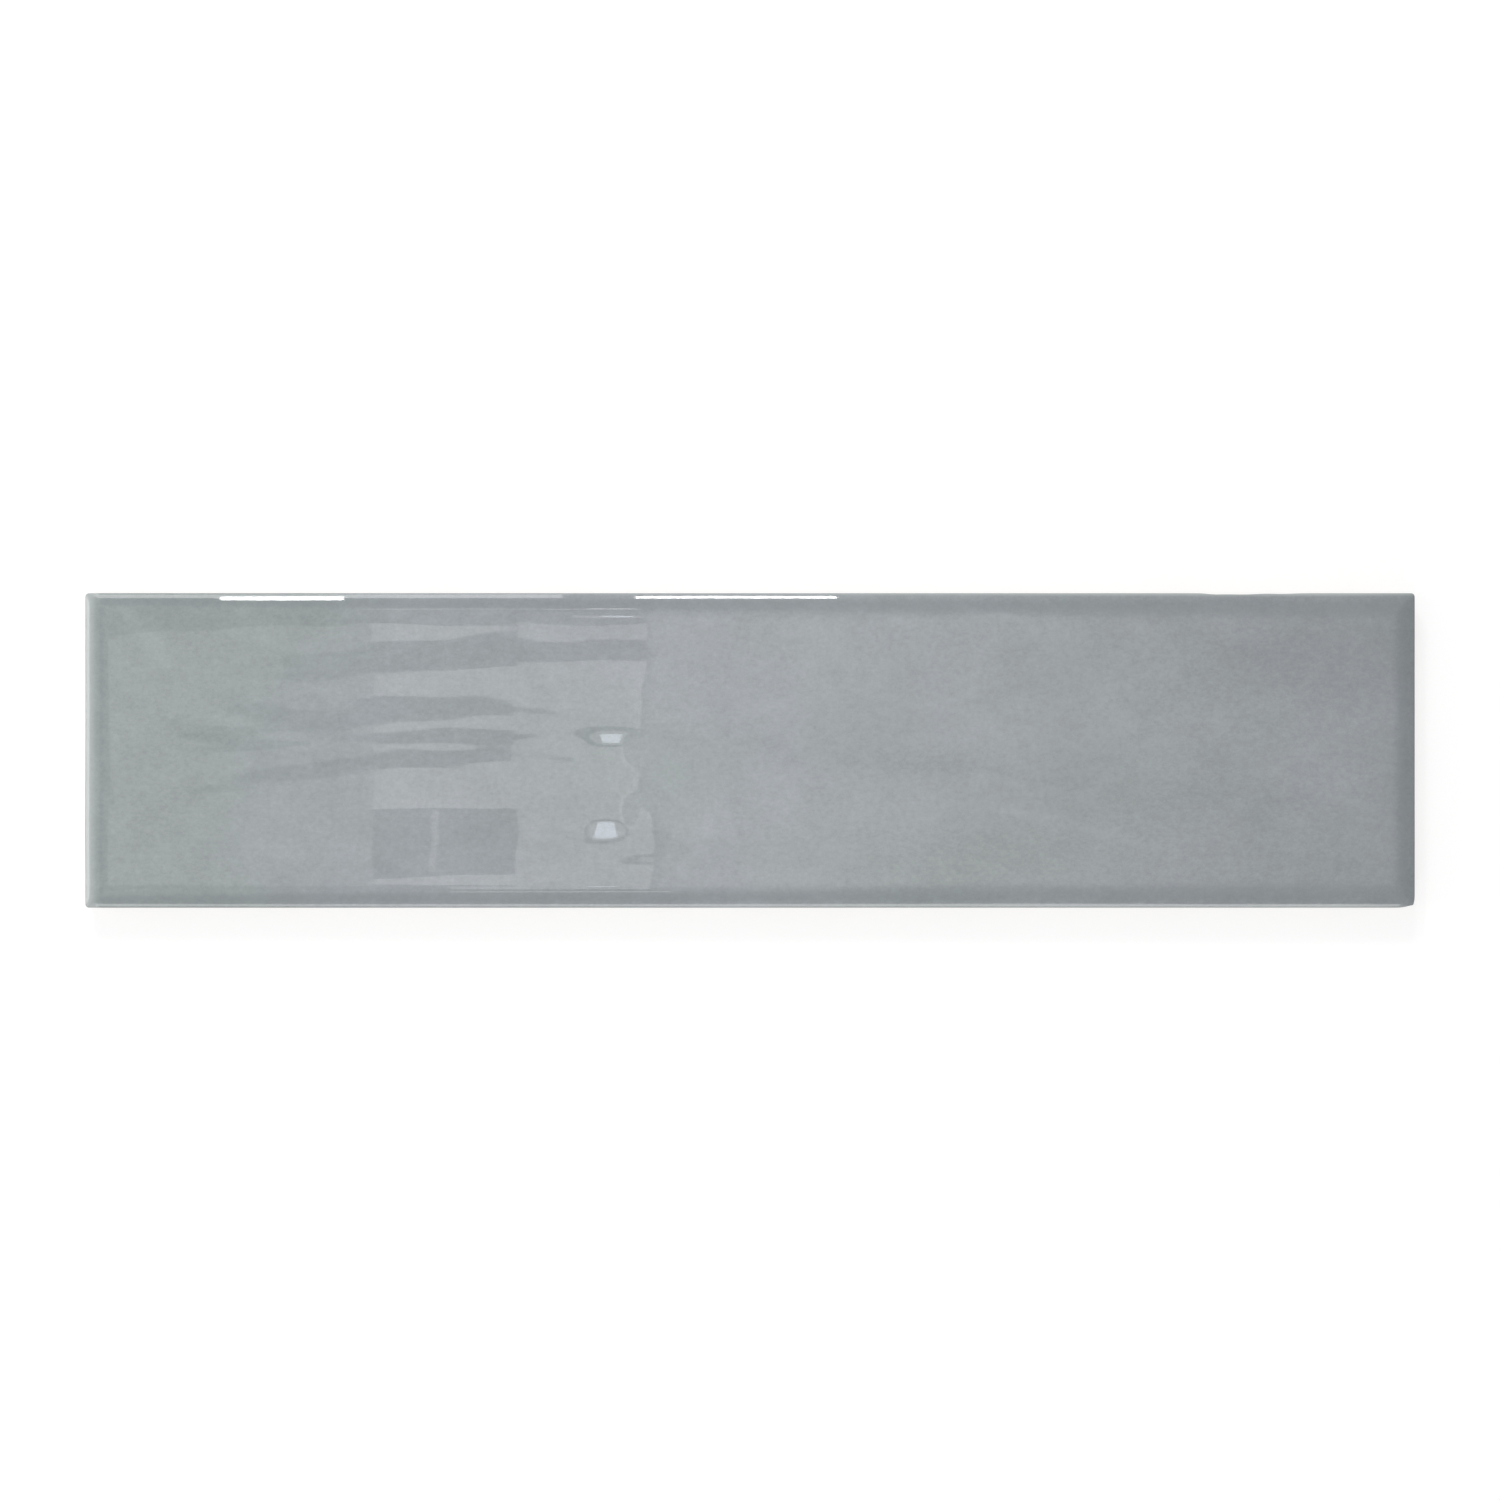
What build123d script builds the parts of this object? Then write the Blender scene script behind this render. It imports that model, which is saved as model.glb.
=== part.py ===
from build123d import *
import math
import os

# A long glazed wall tile with the look of a hand-made one: a soft cushioned edge all round, a face
# that waves a little under its glaze, and a ribbed back for the mortar. It lies on its back. X runs
# along its length, Y across it, Z up out of the glazed face, and the origin is the middle of the back.
# All sizes are in millimetres.

# Stock size of the tile. The thickness is that of the face between its waves and its edges.
length = 300.0
width = 71.0
thickness = 8.5

# The arris is where the face rolls over into the side, the bevel where the side meets the back.
arris_radius = 0.6
back_bevel = 0.5
# The upright corners are a little rounder than the arris and the bevel that turn round them.
corner_land = 0.2
corner_radius = max(arris_radius, back_bevel) + corner_land

# The cushion: the face falls by cushion_depth over the last cushion_width before each edge.
# A higher power keeps the face flat for longer and then turns it down faster.
cushion_width = 5.5
cushion_depth = 1.2
cushion_power = 2.5
# How sharply the falls of two edges meet in a mitre at each corner.
mitre_power = 4.0

# Long low swells of the face. Each has the place of its crest along and across the tile, its half
# length and half width, how far its crest bows down at its ends, how much the crest climbs along its
# half length, and its rise, which is below nought in a hollow.
swells = [
    (-70.6, -10.8, 150.4, 9.1, 17.6, -0.4, 0.241),
    (-56.0, 15.2, 160.0, 9.5, 13.9, -1.8, -0.144),
    (-15.9, 17.7, 117.5, 6.1, 6.0, 0.9, 0.070),
    (-69.3, 25.0, 130.7, 4.2, 9.1, 1.5, -0.023),
    (-70.3, -29.6, 73.9, 4.8, 1.9, 2.6, -0.061),
    (-39.0, 8.5, 110.8, 4.4, 9.0, 4.3, 0.021),
    (-72.7, 9.0, 43.4, 5.3, 4.1, -1.1, 0.008),
    (70.0, 16.6, 77.5, 6.8, 4.8, -8.2, -0.058),
    (76.5, 1.4, 80.4, 6.5, 0.2, -8.7, -0.052),
    (87.3, -11.7, 90.6, 4.0, 1.8, -9.2, 0.072),
    (121.4, 1.9, 25.0, 5.6, -2.2, 12.1, -0.053),
    (120.1, 11.0, 48.1, 5.6, -1.9, 10.4, -0.047),
    (112.7, -14.4, 25.0, 7.6, -2.9, 8.2, -0.080),
    (39.5, -19.3, 70.7, 4.3, 1.1, -6.0, -0.019),
    (88.8, 22.5, 43.5, 6.3, -0.6, -5.0, -0.040),
]

# The face is drawn through points with this mean spacing along and across, bunched near the edges,
# and runs past the sides by face_overrun. The bunching is an angle in radians, below a quarter turn.
face_step_along = 3.8
face_step_across = 1.85
bunching_angle_along = 1.45
bunching_angle_across = 1.3
face_overrun = 2.0
face_tolerance = 0.003

# Keying pockets of the back, in a grid, with ribs between them and a plain border round them.
key_pitch = 15.0
key_rib = 2.5
key_depth = 0.7
key_corner = 1.2
key_draft_angle = 20.0
key_border = 5.0


def edge_share(distance):
    """Share of its fall that one edge gives: 1 at the edge, nought from cushion_width inwards."""
    return max(0.0, 1.0 - distance / cushion_width) ** cushion_power


def cushion(x, y):
    """Fall of the face near the edges, where the falls of two edges meet in a soft mitre."""
    end = edge_share(length / 2 - abs(x))
    side = edge_share(width / 2 - abs(y))
    return cushion_depth * (end**mitre_power + side**mitre_power) ** (1 / mitre_power)


def waves(x, y):
    """Sum of the swells, each a bell curve across its bowed crest that fades out along it."""
    height = 0.0
    for along, across, half_length, half_width, bow, climb, rise in swells:
        u = (x - along) / half_length
        crest = across + climb * u - bow * u**2
        v = (y - crest) / half_width
        height += rise * math.exp(-(u**4) - v**2)
    return height


def stations(size, step, bunching):
    """Places from end to end of a size, and a little past it, bunched near both ends by a sine."""
    reach = size / 2 + face_overrun
    count = math.ceil(2 * reach / step)
    turns = [bunching * (2 * i / count - 1) for i in range(count + 1)]
    return [reach * math.sin(turn) / math.sin(bunching) for turn in turns]


face_points = [
    [
        Vector(x, y, thickness + waves(x, y) - cushion(x, y))
        for y in stations(width, face_step_across, bunching_angle_across)
    ]
    for x in stations(length, face_step_along, bunching_angle_along)
]
glazed_face = Face.make_surface_from_array_of_points(
    face_points, tol=face_tolerance, min_deg=3, max_deg=3
)

key_side = key_pitch - key_rib
key_columns = max(1, math.floor((length - 2 * key_border + key_rib) / key_pitch))
# As many rows on each side of the middle, so that a rib runs along it.
key_rows_a_side = max(1, math.floor((width / 2 - key_border + key_rib / 2) / key_pitch))

with BuildPart() as tile:
    with BuildSketch():
        RectangleRounded(length, width, corner_radius)
    extrude(amount=2 * thickness)

    # What lies under the waved and cushioned face stays.
    extrude(glazed_face, amount=2 * thickness, dir=(0, 0, -1), mode=Mode.INTERSECT)
    fillet(tile.faces().sort_by(Axis.Z)[-1].edges(), radius=arris_radius)

    chamfer(tile.faces().sort_by(Axis.Z)[0].edges(), length=back_bevel)
    with BuildSketch():
        with GridLocations(key_pitch, key_pitch, key_columns, 2 * key_rows_a_side):
            RectangleRounded(key_side, key_side, key_corner)
    extrude(amount=key_depth, taper=key_draft_angle, mode=Mode.SUBTRACT)

tile.part.label = "glazed_tile"

os.makedirs("parts", exist_ok=True)
export_step(tile.part, "parts/glazed_tile.step")
print("size", tile.part.bounding_box().size)
print("volume in cubic centimetres", round(tile.part.volume / 1000, 1))
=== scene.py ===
# %% [markdown]
# # A long glazed wall tile
# The real thing is one piece: clay pressed in a mould, coated with a glossy grey glaze and fired.
# Its edges are rounded like a cushion, its face waves a little, as if made by hand, and its back
# has shallow pockets for the mortar. The frame gives its place, length and width. Every other
# size has a name of its own, in millimetres.

# %% Load the frame
import math

import bmesh
import bpy
import numpy as np
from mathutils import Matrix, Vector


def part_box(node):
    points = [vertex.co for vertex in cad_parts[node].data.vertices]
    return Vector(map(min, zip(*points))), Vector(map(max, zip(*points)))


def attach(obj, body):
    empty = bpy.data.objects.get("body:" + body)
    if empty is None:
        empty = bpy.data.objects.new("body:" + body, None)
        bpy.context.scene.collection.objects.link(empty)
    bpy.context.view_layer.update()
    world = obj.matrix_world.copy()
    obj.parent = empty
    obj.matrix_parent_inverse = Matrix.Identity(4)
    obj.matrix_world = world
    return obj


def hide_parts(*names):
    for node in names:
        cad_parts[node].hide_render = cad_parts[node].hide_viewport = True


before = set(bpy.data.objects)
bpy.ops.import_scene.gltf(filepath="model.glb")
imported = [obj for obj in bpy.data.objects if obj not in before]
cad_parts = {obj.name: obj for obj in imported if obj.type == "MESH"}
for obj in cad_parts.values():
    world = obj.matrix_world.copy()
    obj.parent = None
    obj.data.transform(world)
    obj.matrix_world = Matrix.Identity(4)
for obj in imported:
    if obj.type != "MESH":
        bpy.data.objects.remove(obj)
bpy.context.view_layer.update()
MM = 0.001
low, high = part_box("glazed_tile")
half_length = (high[0] - low[0]) / 2 / MM
half_width = (high[1] - low[1]) / 2 / MM
print("tile in millimetres", round(2 * half_length, 2), "by", round(2 * half_width, 2))

# %% [markdown]
# ## Looking straight down
# A tile on a white sheet is photographed from straight above, so that its outline stays a true
# rectangle. A long lens from further off would flatten the reflections. A short lens would show
# them curved. The height follows from the lens and from how wide a strip the picture shows at the
# level of the tile's edge. The tile lies a tenth of a millimetre below the picture's middle, so
# the camera stands that far aside.

# %% Camera
PICTURE_WIDTH = 338.6
LENS = 85.0
SENSOR = 36.0
EDGE_LEVEL = 6.7
ASIDE = 0.1
camera_height = EDGE_LEVEL + PICTURE_WIDTH * LENS / SENSOR

camera_data = bpy.data.cameras.new("camera")
camera_data.lens = LENS
camera_data.sensor_width = SENSOR
camera = bpy.data.objects.new("camera", camera_data)
camera.location = (0.0, ASIDE * MM, camera_height * MM)
bpy.context.scene.collection.objects.link(camera)
bpy.context.scene.camera = camera
print("camera height in millimetres", round(camera_height, 1))

# %% [markdown]
# ## The cushioned edge
# Near each edge the face bends down, slowly at first and then faster. A power of the distance
# does that: the share of the fall is (1 - distance / width) to a power. Where two edges meet, the
# larger fall wins, and a high power mean rounds that meeting into the soft mitre seen at the
# corners.

# %% Heights of the face near its edges
THICKNESS = 8.5
CUSHION_WIDTH = 5.5
CUSHION_FALL = 1.2
CUSHION_POWER = 2.5
MITRE_POWER = 4.0


def edge_share(distance):
    """(1 - distance / cushion width) to the cushion power, and nought from that width inwards."""
    return np.clip(1.0 - distance / CUSHION_WIDTH, 0.0, None) ** CUSHION_POWER


def cushion(x, y):
    """Fall times the power mean of the shares of the nearer end and the nearer side."""
    end = edge_share(half_length - np.abs(x))
    side = edge_share(half_width - np.abs(y))
    return CUSHION_FALL * (end**MITRE_POWER + side**MITRE_POWER) ** (1 / MITRE_POWER)


print("fall at an edge", cushion(np.float64(half_length), np.float64(0.0)), "mm")

# %% [markdown]
# ## The waves
# The face isn't flat. Long low swells run along it, a tenth of a millimetre or two high, and they
# are what bends every reflection. Each swell is a bell curve across a line that bows towards its
# ends. Finer ripples ride on them, which only the glaze shows, and the last two of those are
# small bumps. Under it all runs a tremor of many faint cosines. Displacing by a noise texture
# would be quicker, but such waves have no direction, and these follow the way the clay was
# pressed.

# %% Swells and ripples
SWELLS = [
    # along, across, half length, half width, bow, climb, rise
    (-70.6, -10.8, 150.4, 9.1, 17.6, -0.4, 0.241),
    (-56.0, 15.2, 160.0, 9.5, 13.9, -1.8, -0.144),
    (-15.9, 17.7, 117.5, 6.1, 6.0, 0.9, 0.070),
    (-69.3, 25.0, 130.7, 4.2, 9.1, 1.5, -0.023),
    (-70.3, -29.6, 73.9, 4.8, 1.9, 2.6, -0.061),
    (-39.0, 8.5, 110.8, 4.4, 9.0, 4.3, 0.021),
    (-72.7, 9.0, 43.4, 5.3, 4.1, -1.1, 0.008),
    (70.0, 16.6, 77.5, 6.8, 4.8, -8.2, -0.058),
    (76.5, 1.4, 80.4, 6.5, 0.2, -8.7, -0.052),
    (87.3, -11.7, 90.6, 4.0, 1.8, -9.2, 0.072),
    (121.4, 1.9, 25.0, 5.6, -2.2, 12.1, -0.053),
    (120.1, 11.0, 48.1, 5.6, -1.9, 10.4, -0.047),
    (112.7, -14.4, 25.0, 7.6, -2.9, 8.2, -0.080),
    (39.5, -19.3, 70.7, 4.3, 1.1, -6.0, -0.019),
    (88.8, 22.5, 43.5, 6.3, -0.6, -5.0, -0.040),
]
RIPPLES = [
    (-66.6, -11.1, 132.6, 2.72, 10.9, -1.4, 0.0375),
    (-49.9, 2.3, 85.3, 2.21, 6.1, 0.4, 0.0123),
    (-56.2, 12.5, 61.5, 2.81, 4.4, 1.1, 0.0069),
    (-63.2, -1.7, 30.4, 3.43, 2.1, 0.5, 0.0151),
    (-81.2, 12.4, 25.0, 2.22, 2.1, 1.6, -0.0043),
    (-52.4, -22.9, 40.8, 2.74, -1.7, 3.5, -0.0050),
    (48.4, 6.7, 45.5, 3.05, 2.8, -5.6, -0.0234),
    (-31.2, 0.2, 5.4, 2.6, 0.0, 0.0, 0.0445),
    (-32.3, -14.4, 5.2, 3.8, 0.0, 0.0, 0.0332),
]
TREMORS = 60
TREMOR_SEED = 11
TREMOR_SLOPE = 0.00012
TREMOR_LENGTHS = (20.0, 90.0)
TREMOR_WIDTHS = (2.5, 14.0)


def bells(x, y, rows):
    """Sum over the rows of rise * exp(-u^4 - v^2), u along and v across the bowed crest of each."""
    height = np.zeros(np.broadcast(x, y).shape)
    for along, across, half_run, half_reach, bow, climb, rise in rows:
        u = (x - along) / half_run
        crest = across + climb * u - bow * u**2
        v = (y - crest) / half_reach
        height = height + rise * np.exp(-(u**4) - v**2)
    return height


def tremor(x, y):
    """Sum of cosines of set slope, with seeded wavelengths that are long along and short across."""
    draw = np.random.default_rng(TREMOR_SEED)
    height = np.zeros(np.broadcast(x, y).shape)
    for _ in range(TREMORS):
        along = draw.uniform(*TREMOR_LENGTHS)
        across = draw.uniform(*TREMOR_WIDTHS) * draw.choice([-1.0, 1.0])
        turn = 2 * math.pi * (x / along + y / across) + draw.uniform(0, 2 * math.pi)
        height = height + TREMOR_SLOPE * abs(across) / (2 * math.pi) * np.cos(turn)
    return height


def face_height(x, y):
    """Thickness plus swells, ripples and tremor, less the cushion's fall."""
    waves = bells(x, y, SWELLS) + bells(x, y, RIPPLES) + tremor(x, y)
    return THICKNESS + waves - cushion(x, y)


# %% [markdown]
# ## The face as a grid
# The face is a grid of points whose rows and columns crowd together near the edges, where the
# cushion turns fastest. A sine of an evenly growing angle gives such places: its steps shrink
# towards a quarter turn. The grid stops at the core, the rectangle between the middles of the
# round corners.

# %% Grid of the face
CORNER_RADIUS = 0.8
ARRIS_RADIUS = 0.6
BACK_BEVEL = 0.5
COLUMN_STEPS = 350
COLUMN_BUNCHING = 1.42
ROW_STEPS = 150
ROW_BUNCHING = 1.2
core_x = half_length - CORNER_RADIUS
core_y = half_width - CORNER_RADIUS


def stations(reach, count, bunching):
    """reach * sin(bunching * t) / sin(bunching), for count + 1 even steps of t from -1 to 1."""
    t = np.linspace(-1.0, 1.0, count + 1)
    return reach * np.sin(bunching * t) / math.sin(bunching)


def grid_faces(rows, columns, first=0):
    """Corner numbers of the quads of a rows by columns grid of points, counted row by row."""
    index = first + np.arange(rows * columns).reshape(rows, columns)
    quads = [index[:-1, :-1], index[:-1, 1:], index[1:, 1:], index[1:, :-1]]
    return np.stack(quads, axis=-1).reshape(-1, 4)


columns = stations(core_x, COLUMN_STEPS, COLUMN_BUNCHING)
rows = stations(core_y, ROW_STEPS, ROW_BUNCHING)
grid_x, grid_y = np.meshgrid(columns, rows)
face_z = face_height(grid_x, grid_y)
face_points = np.stack([grid_x, grid_y, face_z], axis=-1).reshape(-1, 3)
face_quads = grid_faces(len(rows), len(columns))
print("face grid", len(rows), "by", len(columns))

# %% [markdown]
# ## The rim
# From the core outwards the surface is a profile carried round the tile. It ends the face, rolls
# over the arris in an arc that starts with the slope of the face, drops down the side and turns
# in at the back. Each point of the path has a direction outwards, which swings round a quarter
# turn at each corner, so the same profile makes the round corners too. A few shallow chips dent
# the top edge on the right and the corner below it. They fade down the side.

# %% Profile round the tile
CORNER_STEPS = 6
ARRIS_STEPS = 7
SIDE_SHARES = (0.7, 0.4, 0.15, 0.0)
PROBE = 0.05
CHIPS = [
    # x, y, radius, depth
    (105.0, 35.5, 2.4, 0.22),
    (110.8, 35.5, 4.6, 0.31),
    (120.0, 35.5, 3.4, 0.15),
    (149.6, -36.4, 1.8, 0.7),
]


def chipped(x, y):
    """Sum over the chips of depth * exp(-(distance / radius)^2)."""
    dent = np.zeros(x.shape)
    for chip_x, chip_y, radius, depth in CHIPS:
        dent = dent + depth * np.exp(-((x - chip_x) ** 2 + (y - chip_y) ** 2) / radius**2)
    return dent


def path_round(xs, ys):
    """Points of the core's border in order, and the outward direction at each."""
    sides = [
        (xs, np.full(len(xs), ys[0]), -90.0),
        (np.full(len(ys), xs[-1]), ys, 0.0),
        (xs[::-1], np.full(len(xs), ys[-1]), 90.0),
        (np.full(len(ys), xs[0]), ys[::-1], 180.0),
    ]
    places, angles = [], []
    for px, py, angle in sides:
        places.append(np.stack([px, py], axis=-1))
        angles.append(np.full(len(px), angle))
        swing = np.linspace(angle, angle + 90.0, CORNER_STEPS + 1)[1:-1]
        places.append(np.repeat([[px[-1], py[-1]]], len(swing), axis=0))
        angles.append(swing)
    turned = np.radians(np.concatenate(angles))
    return np.concatenate(places), np.stack([np.cos(turned), np.sin(turned)], axis=-1)


def rim_rings(core, outward):
    """Rings of core + reach * outward, less the chips, at each height of the rim's profile."""
    dent = chipped(*(core + CORNER_RADIUS * outward).T) / CORNER_RADIUS

    def ring(reach, height, chip_share=1.0):
        """core + reach * (1 - share of the dent) * outward, at a height or on a surface."""
        spread = (reach * (1.0 - chip_share * dent))[:, None]
        flat = core + spread * outward
        level = height(flat[:, 0], flat[:, 1]) if callable(height) else height
        return np.column_stack([flat, np.broadcast_to(level, len(core))])

    middle = CORNER_RADIUS - ARRIS_RADIUS
    inner = ring(middle + ARRIS_RADIUS / 2 - PROBE, face_height)[:, 2]
    outer = ring(middle + ARRIS_RADIUS / 2 + PROBE, face_height)[:, 2]
    slope = np.arctan((inner - outer) / (2 * PROBE))
    contact = middle + ARRIS_RADIUS * np.sin(slope)
    arris_end = ring(contact, face_height)
    arris_level = arris_end[:, 2] - ARRIS_RADIUS * np.cos(slope)

    rings = [ring(0.0, face_height), ring(contact / 2, face_height), arris_end]
    for step in range(1, ARRIS_STEPS + 1):
        angle = slope + (math.pi / 2 - slope) * step / ARRIS_STEPS
        reach = middle + ARRIS_RADIUS * np.sin(angle)
        rings.append(ring(reach, arris_level + ARRIS_RADIUS * np.cos(angle)))
    for share in SIDE_SHARES:
        rings.append(ring(CORNER_RADIUS, BACK_BEVEL + (arris_level - BACK_BEVEL) * share, share))
    rings.append(ring(CORNER_RADIUS - BACK_BEVEL, 0.0, 0.0))
    return rings


core, outward = path_round(columns, rows)
rings = rim_rings(core, outward)
rim_points = np.concatenate(rings)
around = len(core)
rim_index = np.arange(len(rim_points)).reshape(len(rings), around)
rim_next = np.roll(rim_index, -1, axis=1)
rim_corners = [rim_index[1:], rim_next[1:], rim_next[:-1], rim_index[:-1]]
rim_quads = np.stack(rim_corners, axis=-1).reshape(-1, 4)
print("rim", len(rings), "rings of", around, "points")

# %% [markdown]
# ## The back
# The press leaves a grid of shallow square pockets in the back, so that the mortar holds. A
# pocket is a height worked out from how far inside a rounded square a point lies: nought on the
# ribs, then up the slanted wall, then level. The grid's lines lie on the lips and the feet of
# those walls.

# %% Pockets of the back
KEY_PITCH = 15.0
KEY_RIB = 2.5
KEY_DEPTH = 0.7
KEY_CORNER = 1.2
KEY_CORNER_LINES = (0.45, 0.8, KEY_CORNER)
KEY_DRAFT = math.radians(20.0)
KEY_BORDER = 5.0
key_columns = math.floor((2 * half_length - 2 * KEY_BORDER + KEY_RIB) / KEY_PITCH)
key_rows = 2 * math.floor((half_width - KEY_BORDER + KEY_RIB / 2) / KEY_PITCH)
wall_run = KEY_DEPTH * math.tan(KEY_DRAFT)


def pocket_lines(count):
    """Places of grid lines over count pockets: rib middle, lip, wall, corner and pocket middle."""
    lip = KEY_RIB / 2
    half = np.append(0.0, lip + np.array([0.0, wall_run / 2, wall_run, *KEY_CORNER_LINES]))
    one = np.concatenate([half, [KEY_PITCH / 2], KEY_PITCH - half[:0:-1]])
    starts = KEY_PITCH * (np.arange(count) - count / 2)
    lines = (starts[:, None] + one[None, :]).ravel()
    return np.append(lines, KEY_PITCH * count / 2)


def pocket_height(x, y):
    """Depth * (way in from the lip of a rounded square / run of the wall), the share at most 1."""
    reach = (KEY_PITCH - KEY_RIB) / 2
    px = np.abs((x / KEY_PITCH + key_columns / 2) % 1.0 - 0.5) * KEY_PITCH - (reach - KEY_CORNER)
    py = np.abs((y / KEY_PITCH + key_rows / 2) % 1.0 - 0.5) * KEY_PITCH - (reach - KEY_CORNER)
    outside = np.hypot(np.maximum(px, 0.0), np.maximum(py, 0.0))
    inside = KEY_CORNER - outside - np.minimum(np.maximum(px, py), 0.0)
    return KEY_DEPTH * np.clip(inside / wall_run, 0.0, 1.0)


back_columns = pocket_lines(key_columns)
back_rows = pocket_lines(key_rows)
back_x, back_y = np.meshgrid(back_columns, back_rows)
back_z = pocket_height(back_x, back_y)
back_points = np.stack([back_x, back_y, back_z], axis=-1).reshape(-1, 3)
back_quads = grid_faces(len(back_rows), len(back_columns))[:, ::-1]
print("pockets", key_columns, "by", key_rows)

# %% [markdown]
# ## Zipping two rings
# The last ring of the rim and the border of the pocketed grid have different numbers of points.
# Both are put in order by their angle round the tile. Each edge of one ring then makes a triangle
# with the point of the other that was passed last, as the teeth of a zip do.

# %% Strip between the rim and the back
PLACE_DIGITS = 6


def zip_rings(outer_points, outer_index, inner_points, inner_index):
    """Triangles between two rings, each edge joined to the last point passed on the other."""
    pieces = []
    for points, index in ((outer_points, outer_index), (inner_points, inner_index)):
        turn = np.arctan2(points[:, 1] / half_width, points[:, 0] / half_length)
        order = np.argsort(turn)
        pieces.append((turn[order], index[order]))
    (turn_a, ring_a), (turn_b, ring_b) = pieces
    seen_b = ring_b[np.searchsorted(turn_b, turn_a, side="right") - 1]
    seen_a = ring_a[np.searchsorted(turn_a, turn_b, side="left") - 1]
    next_a = np.roll(ring_a, -1)
    next_b = np.roll(ring_b, -1)
    from_a = np.stack([next_a, ring_a, np.roll(seen_b, -1)], axis=-1)
    from_b = np.stack([ring_b, next_b, np.roll(seen_a, -1)], axis=-1)
    return from_a, from_b


rim_first = len(face_points)
back_first = rim_first + len(rim_points)
border = path_round(back_columns, back_rows)[0]
back_key = {tuple(p): n for n, p in enumerate(np.round(back_points[:, :2], PLACE_DIGITS))}
unique_border = list(dict.fromkeys(tuple(p) for p in np.round(border, PLACE_DIGITS)))
inner_index = np.array([back_first + back_key[p] for p in unique_border])
inner_points = np.array(unique_border)
outer_index = rim_first + rim_index[-1]
strip_a, strip_b = zip_rings(rings[-1][:, :2], outer_index, inner_points, inner_index)
print("strip of", len(strip_a) + len(strip_b), "triangles")

# %% [markdown]
# ## One closed mesh
# All the parts go into one mesh and the points that meet are merged, which closes it. A closed
# solid can be printed or weighed. Shading is smooth, with a hard line only where two faces meet
# at a sharp angle, as at the bevel and the lips of the pockets.

# %% Mesh of the tile
MERGE_DISTANCE = 1e-7
SHARP_ANGLE = math.radians(35.0)
CUBIC_CENTIMETRES = 1e6

all_points = np.concatenate([face_points, rim_points, back_points]) * MM
all_faces = [
    face_quads.tolist(),
    (rim_quads + rim_first).tolist(),
    (back_quads + back_first).tolist(),
    strip_a.tolist(),
    strip_b.tolist(),
]

tile_mesh = bpy.data.meshes.new("tile")
tile_mesh.from_pydata(all_points.tolist(), [], sum(all_faces, []))
shape = bmesh.new()
shape.from_mesh(tile_mesh)
bmesh.ops.remove_doubles(shape, verts=shape.verts, dist=MERGE_DISTANCE)
open_edges = sum(1 for edge in shape.edges if len(edge.link_faces) != 2)
print("edges without two faces", open_edges)
print("volume in cubic centimetres", shape.calc_volume() * CUBIC_CENTIMETRES)
shape.to_mesh(tile_mesh)
shape.free()
tile_mesh.shade_smooth()
tile_mesh.set_sharp_from_angle(angle=SHARP_ANGLE)

tile = bpy.data.objects.new("tile", tile_mesh)
bpy.context.scene.collection.objects.link(tile)
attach(tile, "root")
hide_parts("glazed_tile")
tile_mesh.calc_loop_triangles()
print("triangles", len(tile_mesh.loop_triangles))

# %% [markdown]
# ## Glaze and bare clay
# One material covers the whole tile, because on the real one the glaze fades out down the sides
# with an uneven line. A mask says where the glaze is. It goes from the height of a point and some
# noise. The colour of the glaze is cloudy: it drifts between a greener and a bluer grey in
# patches drawn out along the tile. A band a few millimetres inside each edge is darker. Painted
# shade darkens the glaze towards the right end, most of all at that end's rim. The arris of the
# long sides is lighter, partly as thin glaze and partly as painted highlight, and a painted
# highlight lightens the left end. A few broad streaks and patches have a place of their own, and
# the bell curves that shaped the swells draw them too. Among them, a pale wedge near the top left
# and two faint patches beside the lower bulb's spot are painted reflections, and a small light
# spot by the top edge is a painted glint. The edge tones, the streaks and the hues are worked out
# at each point of the mesh and stored there for the material.

# %% Tones near the edges, some of them painted shade and painted highlight
# A darker band inside each edge: its place, its width and how it grows towards the right.
EDGE_BAND_PLACE = 2.8
EDGE_BAND_WIDTH = 1.8
EDGE_BAND_GROWTH = 0.35
# Lighter arris of the long sides, partly thin glaze and partly painted highlight.
THIN_AND_HIGHLIGHT_WIDTH = 0.8
THIN_AND_HIGHLIGHT_GROWTH = 0.6
# Painted highlight along the left end.
LEFT_HIGHLIGHT_REACH = 3.35
LEFT_HIGHLIGHT_SHARE = 1.5
LEFT_POWER = 8
# Painted shade at the right end's rim: how far in it reaches and how strong it is.
RIGHT_SHADE_REACH = 14.0
RIGHT_SHADE_SHARE = 0.65
TONES_AND_HIGHLIGHTS = [
    # along, across, half length, half width, bow, climb, lighter by
    (125.0, 21.0, 28.0, 8.0, 0.0, 0.0, -0.09),
    (-22.0, -15.0, 16.0, 8.0, 0.0, 0.0, 0.04),
    (45.0, 22.0, 27.0, 6.0, 0.0, -3.0, -0.03),
    (48.0, -24.0, 27.0, 6.0, 0.0, 3.0, -0.04),
    (74.0, -17.5, 22.0, 1.5, 0.0, -5.8, 0.05),
    # A painted glint by the top edge.
    (56.5, 30.6, 3.6, 0.6, 0.0, 0.0, 0.1),
    (130.0, 2.5, 16.0, 1.7, 0.0, 8.5, 0.04),
    (130.0, -9.0, 14.0, 1.4, 0.0, -5.0, 0.03),
    # A painted reflection: the pale wedge near the top left.
    (-136.4, 26.3, 5.4, 3.4, 0.0, -5.1, 0.11),
    # Painted reflections: two faint patches beside the lower bulb's spot.
    (-16.2, -17.4, 1.6, 2.2, 0.0, 0.0, 0.05),
    (-9.5, -17.0, 1.5, 3.2, 0.0, 0.0, 0.05),
]
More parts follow.
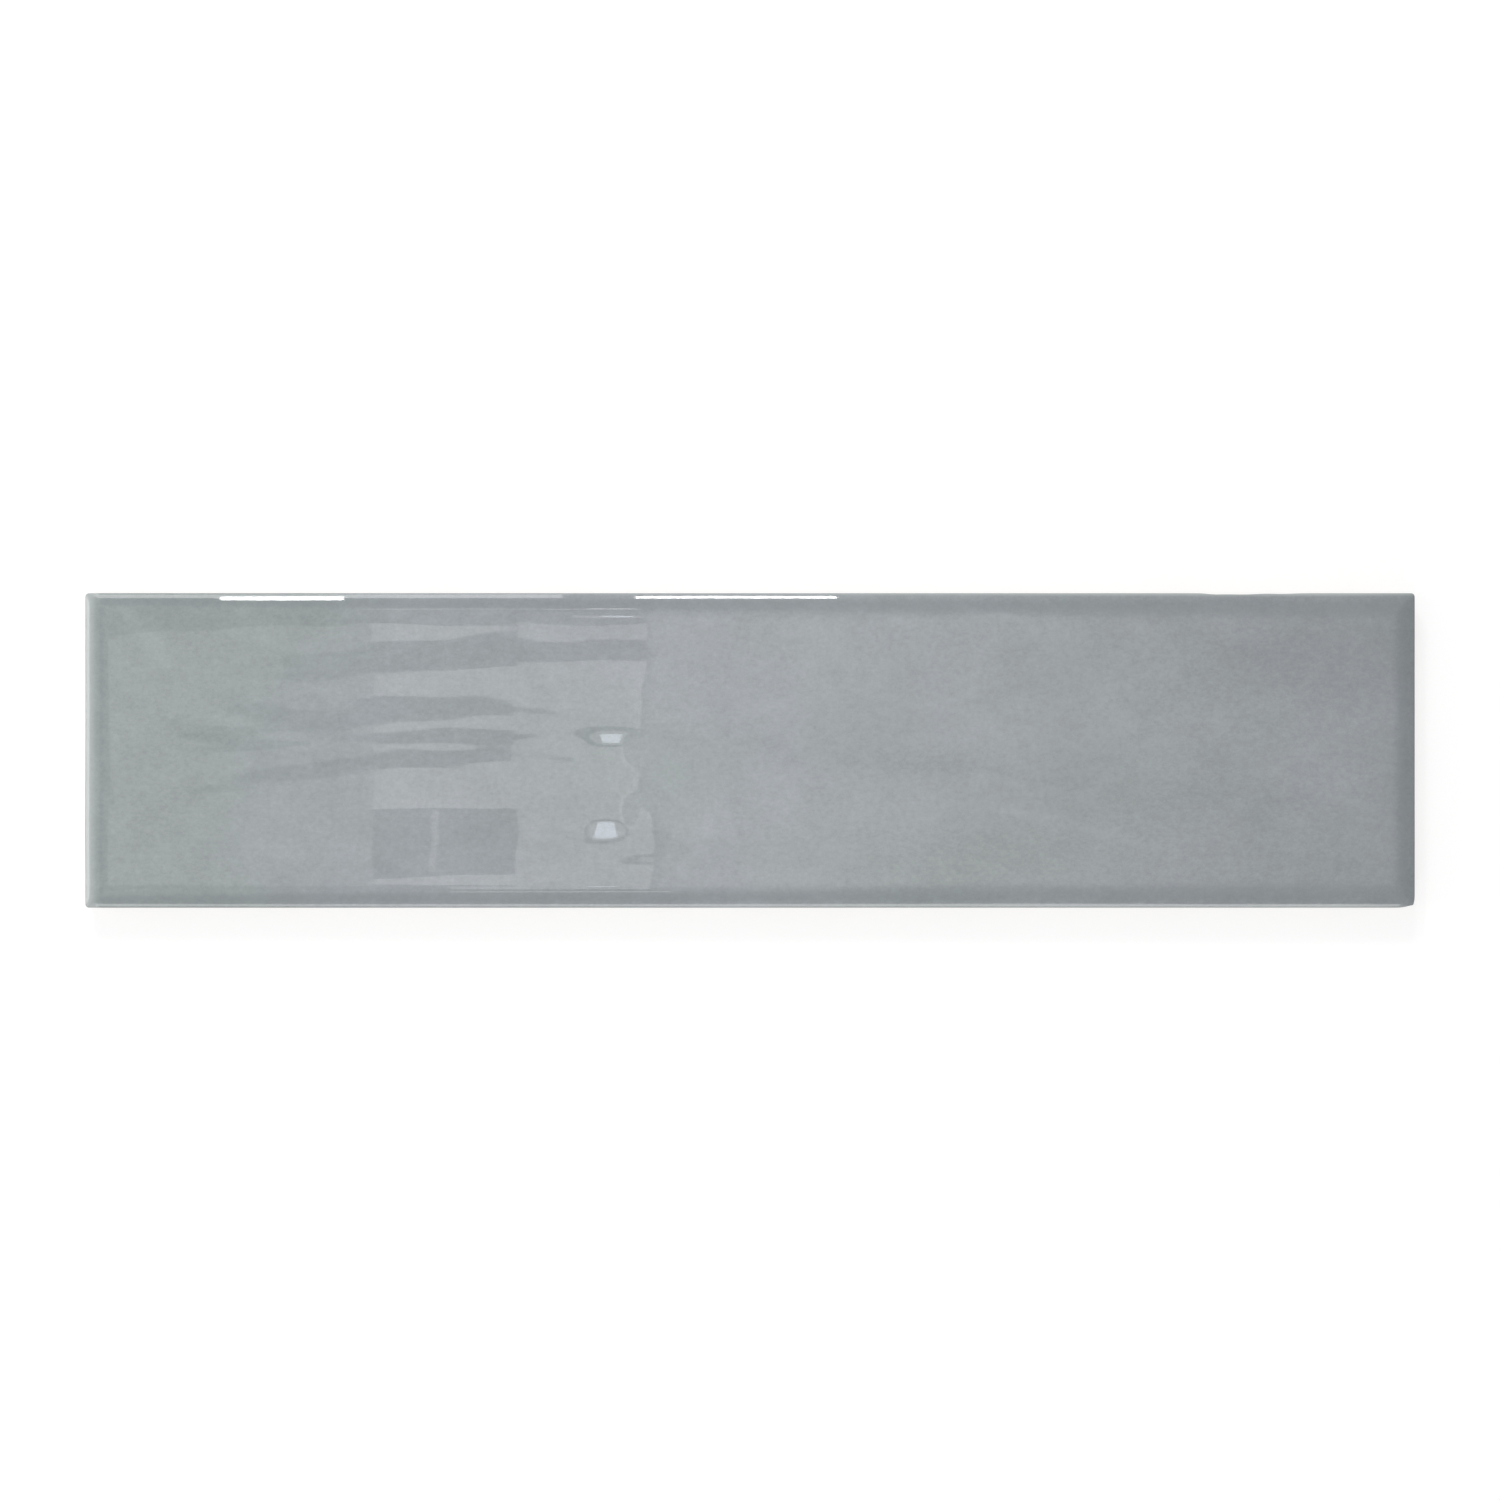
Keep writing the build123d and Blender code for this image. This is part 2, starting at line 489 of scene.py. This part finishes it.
HUES = [
    # along, across, half length, half width, bow, climb, bluer by
    (24.0, 8.0, 13.0, 15.0, 0.0, 0.0, -0.22),
    (36.0, -26.0, 34.0, 7.0, 0.0, 0.0, -0.14),
    (122.0, 20.0, 26.0, 11.0, 0.0, 0.0, 0.15),
]


def edges_and_painted_light(x, y):
    """Larger of the edge band and the right end's painted shade, less the larger of the light
    edges.
    """
    wider = 1.0 + EDGE_BAND_GROWTH * x / half_length
    distance = np.minimum(half_length - np.abs(x), (half_width - np.abs(y)) / wider)
    # A darker band a few millimetres inside each edge.
    edge_tone = np.exp(-(((distance - EDGE_BAND_PLACE) / EDGE_BAND_WIDTH) ** 2))
    # Painted shade darkens the rim of the right end.
    right = RIGHT_SHADE_SHARE * np.exp((x - half_length) / RIGHT_SHADE_REACH)
    # The long sides' arris is lighter, partly thin glaze and partly a painted highlight.
    thin = np.exp(-(((half_width - np.abs(y)) / THIN_AND_HIGHLIGHT_WIDTH) ** 2))
    sides = thin * (1.0 + THIN_AND_HIGHLIGHT_GROWTH * x / half_length)
    # A painted highlight lightens the left end.
    left = LEFT_HIGHLIGHT_SHARE * np.exp(-(((x + half_length) / LEFT_HIGHLIGHT_REACH) ** LEFT_POWER))
    return np.maximum(edge_tone, right) - np.maximum(sides, left)


def tones_and_highlights(x, y):
    """Sum of the bells of the lighter and darker streaks, among them painted reflections and a
    glint.
    """
    return bells(x, y, TONES_AND_HIGHLIGHTS)


def hued(x, y):
    """Sum of the bells of the bluer patches, above nought, and the greener ones, below it."""
    return bells(x, y, HUES)


def point_values(mesh, name, formula):
    """Store formula(x, y), in millimetres, on each point of the mesh."""
    flat = np.empty(len(mesh.vertices) * 3)
    mesh.vertices.foreach_get("co", flat)
    places = flat.reshape(-1, 3) / MM
    values = formula(places[:, 0], places[:, 1]).astype(np.float32)
    mesh.attributes.new(name, "FLOAT", "POINT").data.foreach_set("value", values)
    print(name, "from", round(float(values.min()), 2), "to", round(float(values.max()), 2))


for formula in (edges_and_painted_light, tones_and_highlights, hued):
    point_values(tile_mesh, formula.__name__, formula)

# %% [markdown]
# ## Short names for nodes
# A material is a web of small nodes, and written out one by one they would fill pages. A few
# helpers add a node and wire it in one line, so that a formula reads from left to right. The node
# editor shows the same web, and there it is easier to try things out than here.

# %% Helpers for nodes
SCREEN_TOE = 0.04045
SCREEN_TOE_SLOPE = 12.92
SCREEN_LIFT = 0.055
SCREEN_POWER = 2.4
SHARE_SOCKET, FIRST_SOCKET, SECOND_SOCKET, COLOUR_RESULT = 0, 6, 7, 2


def node(tree, kind, inputs=None, **settings):
    """Add a node, set its settings, and link or set its inputs by name or number."""
    made = tree.nodes.new(kind)
    for name, value in settings.items():
        setattr(made, name, value)
    for name, value in (inputs or {}).items():
        if isinstance(value, bpy.types.NodeSocket):
            tree.links.new(value, made.inputs[name])
        else:
            made.inputs[name].default_value = value
    return made


def grey(red, green, blue):
    """Screen colour, 0 to 255, as light: ((seen + lift) / (1 + lift)) to a power, above a toe."""
    seen = np.array([red, green, blue]) / 255.0
    curve = ((seen + SCREEN_LIFT) / (1.0 + SCREEN_LIFT)) ** SCREEN_POWER
    light = np.where(seen <= SCREEN_TOE, seen / SCREEN_TOE_SLOPE, curve)
    return (*light.tolist(), 1.0)


def mixed(tree, share, first, second):
    """Colour mix: first where share is 0, second where it is 1."""
    inputs = {SHARE_SOCKET: share, FIRST_SOCKET: first, SECOND_SOCKET: second}
    return node(tree, "ShaderNodeMix", inputs, data_type="RGBA").outputs[COLOUR_RESULT]


def ranged(tree, value, from_low, from_high, to_low=0.0, to_high=1.0):
    """Map Range, clamped and smooth at both ends."""
    inputs = {"Value": value, "From Min": from_low, "From Max": from_high}
    inputs |= {"To Min": to_low, "To Max": to_high}
    made = node(tree, "ShaderNodeMapRange", inputs, interpolation_type="SMOOTHSTEP")
    return made.outputs["Result"]


def maths(tree, operation, first, second):
    """One arithmetic node of two values or links."""
    made = node(tree, "ShaderNodeMath", {0: first, 1: second}, operation=operation)
    return made.outputs["Value"]


print("a middle grey of 128 on the screen is light", round(grey(128, 128, 128)[0], 3))

# %% [markdown]
# ## The material
# The noise is read at the place of each point in the tile's own frame, so it stays put when the
# tile moves. Its scale says how many features fit in a metre. The values stored on the mesh push
# the clouds lighter, darker, greener or bluer. The glaze is nearly as smooth as glass, and the
# clay under its line is matt, with a fine grit that is too small to model. A painted image would
# have to be carried along with the file, and noise needs only these few numbers.

# %% Material
GREEN_GREY = grey(160, 168, 168)
BLUE_GREY = grey(165, 170, 175)
# Darker glaze for the band inside the edges and for the right end's painted shade.
DARK_GLAZE_AND_SHADE = grey(138, 145, 148)
# Lighter glaze, partly thin over the arris and partly painted highlight.
THIN_GLAZE_AND_HIGHLIGHT = grey(205, 211, 210)
BARE_CLAY = grey(226, 216, 198)
STAINED_CLAY = grey(205, 192, 172)
GLAZE_LINE = 4.2
GLAZE_LINE_BLUR = 0.15
GLAZE_LINE_WANDER = 1.1
GLAZE_ROUGHNESS = 0.015
GLAZE_IOR = 1.5
CLAY_ROUGHNESS = 0.85
GRIT_STRENGTH = 0.5
GRIT_HEIGHT = 0.0002
STRETCH = (0.75, 1.0, 1.0)
NOISE_SPAN = (0.2, 0.8)
# Scale, detail, roughness and seed of each cloud.
DRIFT_CLOUD = (22.0, 4.0, 0.6)
PATCH_CLOUD = (62.0, 8.0, 0.84, 3.0)
SPECKLE_CLOUD = (900.0, 4.0, 0.9, 7.0)
# Scale and detail of the plain noises.
RAGGED_NOISE = (120.0, 3.0)
STAIN_NOISE = (60.0, 5.0)
GRIT_NOISE = (1500.0, 3.0)
# Ranges that go in, in metres along the tile or as noise, and the ranges that come out.
LEFT_SPAN, LEFT_DRIFT = (-0.15, -0.07), (-0.25, 0.12)
# Painted shade towards the right end.
RIGHT_SPAN, RIGHT_SHADES = (-0.01, 0.16), (1.0, 0.86)
DRIFT_SPAN = (0.35, 0.75)
STAIN_SPAN = (0.4, 0.75)
PATCH_SHADES = (0.91, 1.15)
SPECKLE_SHADES = (0.88, 1.12)
DARKER_SPAN, DARKER_SHARES = (0.0, 1.0), (0.0, 0.4)
LIGHTER_SPAN, LIGHTER_SHARES = (0.0, -1.6), (0.0, 0.75)

glaze = bpy.data.materials.new("glaze")
glaze.use_nodes = True
tree = glaze.node_tree
tree.nodes.clear()
place = node(tree, "ShaderNodeTexCoord").outputs["Object"]
spot = node(tree, "ShaderNodeSeparateXYZ", {"Vector": place})
stretched = node(tree, "ShaderNodeMapping", {"Vector": place, "Scale": STRETCH})
drawn_out = stretched.outputs["Vector"]


def cloud(scale, detail, rough, seed=0.0):
    """Noise of the drawn-out place: features of 1 / scale metres, with ever finer ones in them."""
    inputs = {"Vector": drawn_out, "W": seed, "Scale": scale, "Detail": detail, "Roughness": rough}
    return node(tree, "ShaderNodeTexNoise", inputs, noise_dimensions="4D").outputs["Fac"]


def plain_noise(scale, detail):
    """Noise of the place itself: features of 1 / scale metres."""
    inputs = {"Vector": place, "Scale": scale, "Detail": detail}
    return node(tree, "ShaderNodeTexNoise", inputs).outputs["Fac"]


def stored(name):
    """The value that each point of the mesh holds under this name."""
    return node(tree, "ShaderNodeAttribute", attribute_name=name).outputs["Fac"]


# Greener at the left end and in patches, bluer elsewhere, and darkened towards the right by painted
# shade.
from_left = ranged(tree, spot.outputs["X"], *LEFT_SPAN, *LEFT_DRIFT)
drift = maths(tree, "ADD", maths(tree, "ADD", cloud(*DRIFT_CLOUD), from_left), stored("hued"))
body = mixed(tree, ranged(tree, drift, *DRIFT_SPAN), GREEN_GREY, BLUE_GREY)
patches = ranged(tree, cloud(*PATCH_CLOUD), *NOISE_SPAN, *PATCH_SHADES)
# Painted shade: darker towards the right end.
painted_right_shade = ranged(tree, spot.outputs["X"], *RIGHT_SPAN, *RIGHT_SHADES)
speckle = ranged(tree, cloud(*SPECKLE_CLOUD), *NOISE_SPAN, *SPECKLE_SHADES)
# The stored tones add painted reflections and a painted glint to the patches.
patches_and_highlights = maths(tree, "ADD", patches, stored("tones_and_highlights"))
shade = maths(tree, "MULTIPLY", patches_and_highlights, maths(tree, "MULTIPLY", painted_right_shade, speckle))
shaded = node(tree, "ShaderNodeVectorMath", {0: body, 1: shade}, operation="MULTIPLY")

# Edge tones: dark band, right end painted shade, arris partly and left end wholly painted
# highlight.
edge_tone = stored("edges_and_painted_light")
darker_share = ranged(tree, edge_tone, *DARKER_SPAN, *DARKER_SHARES)
darkened = mixed(tree, darker_share, shaded.outputs["Vector"], DARK_GLAZE_AND_SHADE)
glazed = mixed(tree, ranged(tree, edge_tone, *LIGHTER_SPAN, *LIGHTER_SHARES), darkened, THIN_GLAZE_AND_HIGHLIGHT)

reach = GLAZE_LINE_WANDER * MM
wander = ranged(tree, plain_noise(*RAGGED_NOISE), *NOISE_SPAN, -reach, reach)
line = maths(tree, "ADD", spot.outputs["Z"], wander)
line_low = (GLAZE_LINE - GLAZE_LINE_BLUR) * MM
line_high = (GLAZE_LINE + GLAZE_LINE_BLUR) * MM
mask = ranged(tree, line, line_low, line_high)

stain = ranged(tree, plain_noise(*STAIN_NOISE), *STAIN_SPAN)
clay = mixed(tree, stain, BARE_CLAY, STAINED_CLAY)
colour = mixed(tree, mask, clay, glazed)
roughness = ranged(tree, mask, 0.0, 1.0, CLAY_ROUGHNESS, GLAZE_ROUGHNESS)

bare = maths(tree, "SUBTRACT", 1.0, mask)
grit = maths(tree, "MULTIPLY", plain_noise(*GRIT_NOISE), bare)
relief = {"Height": grit, "Strength": GRIT_STRENGTH, "Distance": GRIT_HEIGHT}
bump = node(tree, "ShaderNodeBump", relief).outputs["Normal"]

finish = {"Base Color": colour, "Roughness": roughness, "Normal": bump, "IOR": GLAZE_IOR}
shader = node(tree, "ShaderNodeBsdfPrincipled", finish)
node(tree, "ShaderNodeOutputMaterial", {"Surface": shader.outputs["BSDF"]})
tile_mesh.materials.append(glaze)
print("material nodes", len(tree.nodes))

# %% [markdown]
# ## The room that the glaze mirrors
# A glossy glaze sends back about a twenty-fifth of the light that falls on it, so what it mirrors
# is as much of its look as its colour. Soft panels hang high above the camera, and the waves of
# the face bend their edges into bands. Two small bluish bulbs make the two bright spots. Each
# lamp is given by its edges in millimetres and its radiance, and its watts follow as pi times
# radiance times area.

# %% Lamps above
PANEL_LEVEL = 1608.0
# Of lamps that overlap at one level only one is seen, so those before others hang a little lower.
LOWER_LEVEL = 1590.0
WHITE_LIGHT = (1.0, 1.0, 1.0)
BULB_BLUE = (0.88, 0.98, 1.14)
STRAIGHT_DOWN = 1e-6


def lamp(name, centre, size, radiance, aim, colour=WHITE_LIGHT):
    """Area lamp that looks at a point, of pi * radiance * width * height watts."""
    data = bpy.data.lights.new(name, "AREA")
    data.shape = "RECTANGLE"
    data.size = size[0] * MM
    data.size_y = size[1] * MM
    data.energy = math.pi * radiance * data.size * data.size_y
    data.color = colour
    thing = bpy.data.objects.new(name, data)
    thing.location = [value * MM for value in centre]
    away = np.array(centre, dtype=float) - np.array(aim, dtype=float)
    flat = math.hypot(away[0], away[1])
    yaw = math.atan2(away[0], -away[1]) if flat > STRAIGHT_DOWN else 0.0
    thing.rotation_euler = (math.atan2(flat, away[2]), 0.0, yaw)
    bpy.context.scene.collection.objects.link(thing)


def panel(name, x_range, y_range, radiance, colour=WHITE_LIGHT, level=PANEL_LEVEL):
    """Level lamp that faces down, given by its edges."""
    centre = (sum(x_range) / 2, sum(y_range) / 2, level)
    size = (x_range[1] - x_range[0], y_range[1] - y_range[0])
    lamp(name, centre, size, radiance, (centre[0], centre[1], 0.0), colour)


panel("panel_left", (-255.0, -159.0), (-113.0, 52.0), 1.83)
panel("panel_middle", (-159.0, -70.0), (-139.0, 58.0), 1.55)
panel("panel_far_left", (-441.0, -254.0), (-158.0, 54.0), 0.82)
panel("strip_far", (-267.0, -75.0), (412.0, 442.0), 4.0)
panel("strip_bright", (-113.0, -82.0), (445.0, 475.0), 6.0)
panel("strip_near", (-208.0, -56.0), (-445.0, -385.0), 2.6)
panel("patch_upper", (-120.0, -75.0), (74.0, 112.0), 1.55)
panel("patch_lower", (-205.0, -70.0), (-262.0, -143.0), 1.5)
panel("slit", (-216.0, -211.0), (-131.0, -121.0), 1.1)
panel("bulb_upper", (-101.0, -80.0), (84.0, 104.0), 4.6, BULB_BLUE, LOWER_LEVEL)
panel("bulb_lower", (-111.0, -91.0), (-163.0, -143.0), 4.6, BULB_BLUE, LOWER_LEVEL)
print("lamps above", len(bpy.data.lights))

# %% [markdown]
# ## Lamps at the sides
# The rim of the tile faces away from the middle, so it mirrors what stands lower in the room. A
# window on the left, a dim panel and two bright strips behind, and a long low panel in front draw
# the light lines along the rim. Nothing bright stands on the right, and that rim stays dark.

# %% Lamps at the sides
SIDE_DISTANCE = 1000.0


def side_lamp(name, from_zenith, x_range, height, radiance):
    """Lamp at an angle from straight up, behind the tile's edge, or before it if minus."""
    turn = math.radians(from_zenith)
    edge = math.copysign(half_width, from_zenith)
    across = edge + SIDE_DISTANCE * math.sin(turn)
    centre = (sum(x_range) / 2, across, SIDE_DISTANCE * math.cos(turn))
    lamp(name, centre, (x_range[1] - x_range[0], height), radiance, (centre[0], edge, 0.0))


side_lamp("strip_left", 43.0, (-268.0, -206.0), 205.0, 25.0)
side_lamp("strip_right", 46.5, (-58.0, 44.0), 135.0, 25.0)
side_lamp("panel_back", 52.0, (-340.0, -95.0), 290.0, 4.0)
side_lamp("panel_front", -53.0, (-340.0, 330.0), 190.0, 3.6)
lamp("window", (-1020.0, 0.0, 500.0), (600.0, 260.0), 3.4, (-half_length, 0.0, 0.0))
print("lamps in all", len(bpy.data.lights))

# %% [markdown]
# ## World
# The world is a soft grey room. Its ceiling glows over the right part of the tile, up to a clear
# edge on the left where the panels begin, and fades away to the right. Each direction of view has
# two slopes, along and across divided by up, and smooth steps of those slopes shape the glow.
# Across the tile each edge of the glow is half a quick step and half a slow one. A gradient
# texture could do it too, but with steps each edge gets a softness of its own. The camera itself
# sees plain white in its place.

# %% World
ROOM_LIGHT = 0.57
ROOM_DARK_SHARE = 0.6
CEILING_GLOW = 1.15
WHITE = (1.0, 1.0, 1.0, 1.0)
LEAST_UP = 0.02
# Slopes between which each step of the glow runs.
GLOW_LEFT = (-0.033, -0.025)
GLOW_RIGHT = (0.02, 0.30)
FRONT_QUICK, FRONT_SLOW = (-0.10, -0.06), (-0.5, -0.06)
BACK_QUICK, BACK_SLOW = (0.018, 0.06), (0.018, 0.5)
ROOM_DARKENS = (0.05, 0.5)
RISING, FALLING = (0.0, 0.5), (0.5, 0.0)

world = bpy.data.worlds.new("soft_room")
bpy.context.scene.world = world
world.use_nodes = True
sky = world.node_tree
sky.nodes.clear()
towards = node(sky, "ShaderNodeTexCoord").outputs["Generated"]
parts = node(sky, "ShaderNodeSeparateXYZ", {"Vector": towards})
upward = maths(sky, "MAXIMUM", parts.outputs["Z"], LEAST_UP)
lean_x = maths(sky, "DIVIDE", parts.outputs["X"], upward)
lean_y = maths(sky, "DIVIDE", parts.outputs["Y"], upward)


def two_halves(quick, slow, heights):
    """Sum of a quick and a slow smooth step of the slope across, each of half the height."""
    first = ranged(sky, lean_y, *quick, *heights)
    return maths(sky, "ADD", first, ranged(sky, lean_y, *slow, *heights))


steps = [
    ranged(sky, lean_x, *GLOW_LEFT),
    ranged(sky, lean_x, *GLOW_RIGHT, 1.0, 0.0),
    two_halves(FRONT_QUICK, FRONT_SLOW, RISING),
    two_halves(BACK_QUICK, BACK_SLOW, FALLING),
]
glow = CEILING_GLOW
for step in steps:
    glow = maths(sky, "MULTIPLY", glow, step)
room_share = ranged(sky, lean_x, *ROOM_DARKENS, 1.0, ROOM_DARK_SHARE)
room = maths(sky, "MULTIPLY", room_share, ROOM_LIGHT)
whole = maths(sky, "ADD", room, glow)
seen = node(sky, "ShaderNodeLightPath").outputs["Is Camera Ray"]
level = maths(sky, "MAXIMUM", whole, seen)
sky_light = node(sky, "ShaderNodeBackground", {"Color": WHITE, "Strength": level})
node(sky, "ShaderNodeOutputWorld", {"Surface": sky_light.outputs["Background"]})
print("world nodes", len(sky.nodes))

# %% [markdown]
# ## Floor
# The floor is a white matt sheet, a hair below the tile so that the two never lie in one plane.
# For the camera alone it is part grey and part glowing, so that it reads as a bare white page,
# and the tile still throws a faint shadow on it. Further out it glows fully, as far as the eye
# goes, because the lamps reach less of it there. All other light finds a plain pale sheet.

# %% Floor
FLOOR_HALF = 3.0
FLOOR_DROP = 0.05
FLOOR_GREY = 0.86
SEEN_GREY = 0.44
SEEN_GLOW = 0.68
GLOW_NEAR = 0.22
GLOW_FAR = 0.7

floor_mesh = bpy.data.meshes.new("floor")
side = (-FLOOR_HALF, FLOOR_HALF)
floor_mesh.from_pydata([(x, y, 0.0) for y in side for x in side], [], [(0, 1, 3, 2)])
floor = bpy.data.objects.new("floor", floor_mesh)
floor.location = (0.0, 0.0, -FLOOR_DROP * MM)
bpy.context.scene.collection.objects.link(floor)

sheet = bpy.data.materials.new("white_sheet")
sheet.use_nodes = True
leaf = sheet.node_tree
leaf.nodes.clear()
looked_at = node(leaf, "ShaderNodeLightPath").outputs["Is Camera Ray"]
tone = ranged(leaf, looked_at, 0.0, 1.0, FLOOR_GREY, SEEN_GREY)
matt = node(leaf, "ShaderNodeBsdfDiffuse", {"Color": tone}).outputs["BSDF"]
sheet_place = node(leaf, "ShaderNodeTexCoord").outputs["Object"]
away = node(leaf, "ShaderNodeVectorMath", {0: sheet_place}, operation="LENGTH").outputs["Value"]
growing = ranged(leaf, away, GLOW_NEAR, GLOW_FAR, SEEN_GLOW, 1.0)
shine = maths(leaf, "MULTIPLY", looked_at, growing)
lit = node(leaf, "ShaderNodeEmission", {"Color": WHITE, "Strength": shine}).outputs["Emission"]
both = node(leaf, "ShaderNodeAddShader", {0: matt, 1: lit}).outputs["Shader"]
node(leaf, "ShaderNodeOutputMaterial", {"Surface": both})
floor_mesh.materials.append(sheet)
print("floor", 2 * FLOOR_HALF, "metres square, nodes of its sheet", len(leaf.nodes))

# %% [markdown]
# ## Colours as they are
# The Standard view sends colours to the screen as they are. A filmic view would soften the
# highlights, and it would also grey the white sheet.

# %% Colours as they are, and the end
bpy.context.scene.view_settings.view_transform = "Standard"
